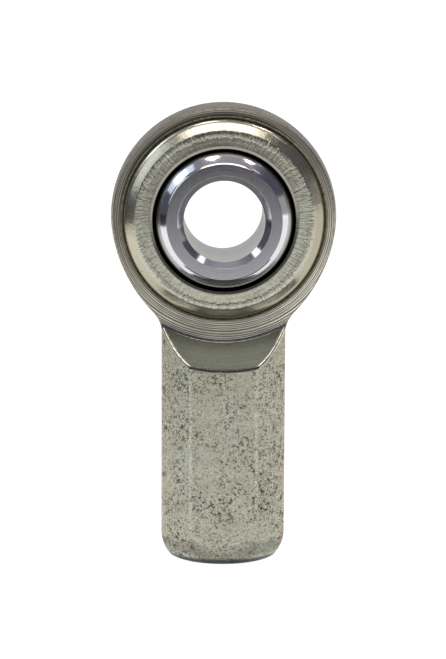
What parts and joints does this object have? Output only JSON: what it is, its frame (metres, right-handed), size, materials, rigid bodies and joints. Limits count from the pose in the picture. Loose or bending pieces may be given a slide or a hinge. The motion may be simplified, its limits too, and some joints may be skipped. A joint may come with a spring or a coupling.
{
  "type": "rod end bearing",
  "caption": "Female rod end bearing: a chromed ball swivels in a two-half race pressed into a forged eye above a tapped square shank.",
  "frame": {"origin": "centre of the ball, on the bore axis", "axes": "+Y along the ball's bore towards the rear face, +Z from the shank up to the crown of the eye, +X across the eye"},
  "size_m": [0.0222, 0.0122, 0.0453],
  "materials": {
    "body_steel": "satin zinc chromate plate, worn and speckled",
    "race_steel": "satin zinc chromate plate",
    "ball_chrome": "hard chrome, mirror sphere and satin faces"
  },
  "bodies": {
    "housing": {"body": "body_steel", "race_front": "race_steel", "race_rear": "race_steel"},
    "ball": {"ball": "ball_chrome"}
  },
  "joints": [
    {"name": "ball_tilt", "type": "hinge", "parent": "housing", "child": "ball", "pos_m": [0, 0, 0], "axis": [1, 0, 0], "range_deg": [-14, 14]}
  ]
}
